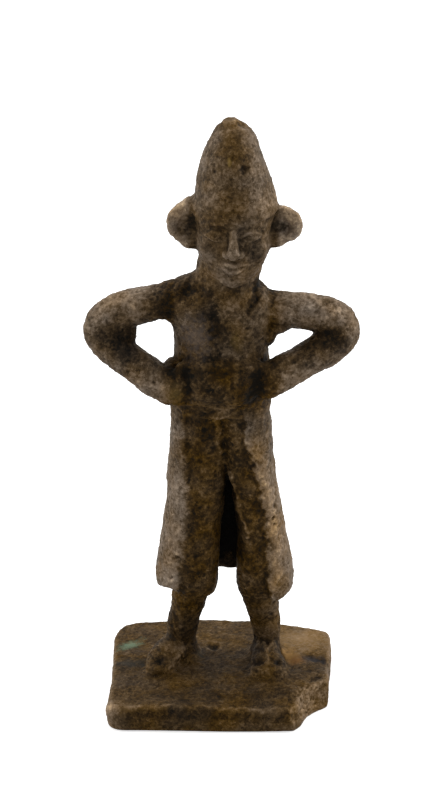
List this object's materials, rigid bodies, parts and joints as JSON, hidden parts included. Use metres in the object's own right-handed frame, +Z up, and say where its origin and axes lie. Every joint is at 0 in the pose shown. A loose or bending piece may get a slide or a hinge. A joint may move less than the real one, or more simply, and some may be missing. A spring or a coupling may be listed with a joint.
{
  "type": "cast bronze figurine",
  "caption": "Small cast figurine of a standing man with hands on his belly, in a tall cap, long open coat and trousers, on a thick rectangular base plate.",
  "frame": {"origin": "middle of the base plate's flat underside", "axes": "+Z up from the underside to the tip of the cap; the figure faces -Y; its left side is at +X"},
  "size_m": [0.0358, 0.0248, 0.0817],
  "materials": {
    "dark_bronze": "rough cast bronze under a near-black brown patina, as in the folds, the back and the base plate",
    "brown_bronze": "rough cast bronze under a brown patina, a little lighter where hands touch it",
    "rubbed_bronze": "rough cast bronze with the patina rubbed through to dull tan metal on the high grains"
  },
  "bodies": {
    "root": {"base_plate": "dark_bronze", "right_foot": "brown_bronze", "left_foot": "brown_bronze", "right_shin": "brown_bronze", "left_shin": "brown_bronze", "right_trouser_leg": "dark_bronze", "left_trouser_leg": "dark_bronze", "coat_back": "dark_bronze", "coat_right_skirt": "rubbed_bronze", "coat_left_skirt": "rubbed_bronze", "sash": "brown_bronze", "chest": "brown_bronze", "right_upper_arm": "rubbed_bronze", "left_upper_arm": "rubbed_bronze", "right_forearm": "rubbed_bronze", "left_forearm": "rubbed_bronze", "right_hand": "brown_bronze", "left_hand": "brown_bronze", "neck": "dark_bronze", "head": "dark_bronze", "brow": "brown_bronze", "nose": "brown_bronze", "upper_lip": "brown_bronze", "lower_lip": "brown_bronze", "right_eye": "brown_bronze", "left_eye": "brown_bronze", "right_ear": "rubbed_bronze", "left_ear": "rubbed_bronze", "cap": "brown_bronze", "cap_tip": "rubbed_bronze"}
  },
  "joints": []
}
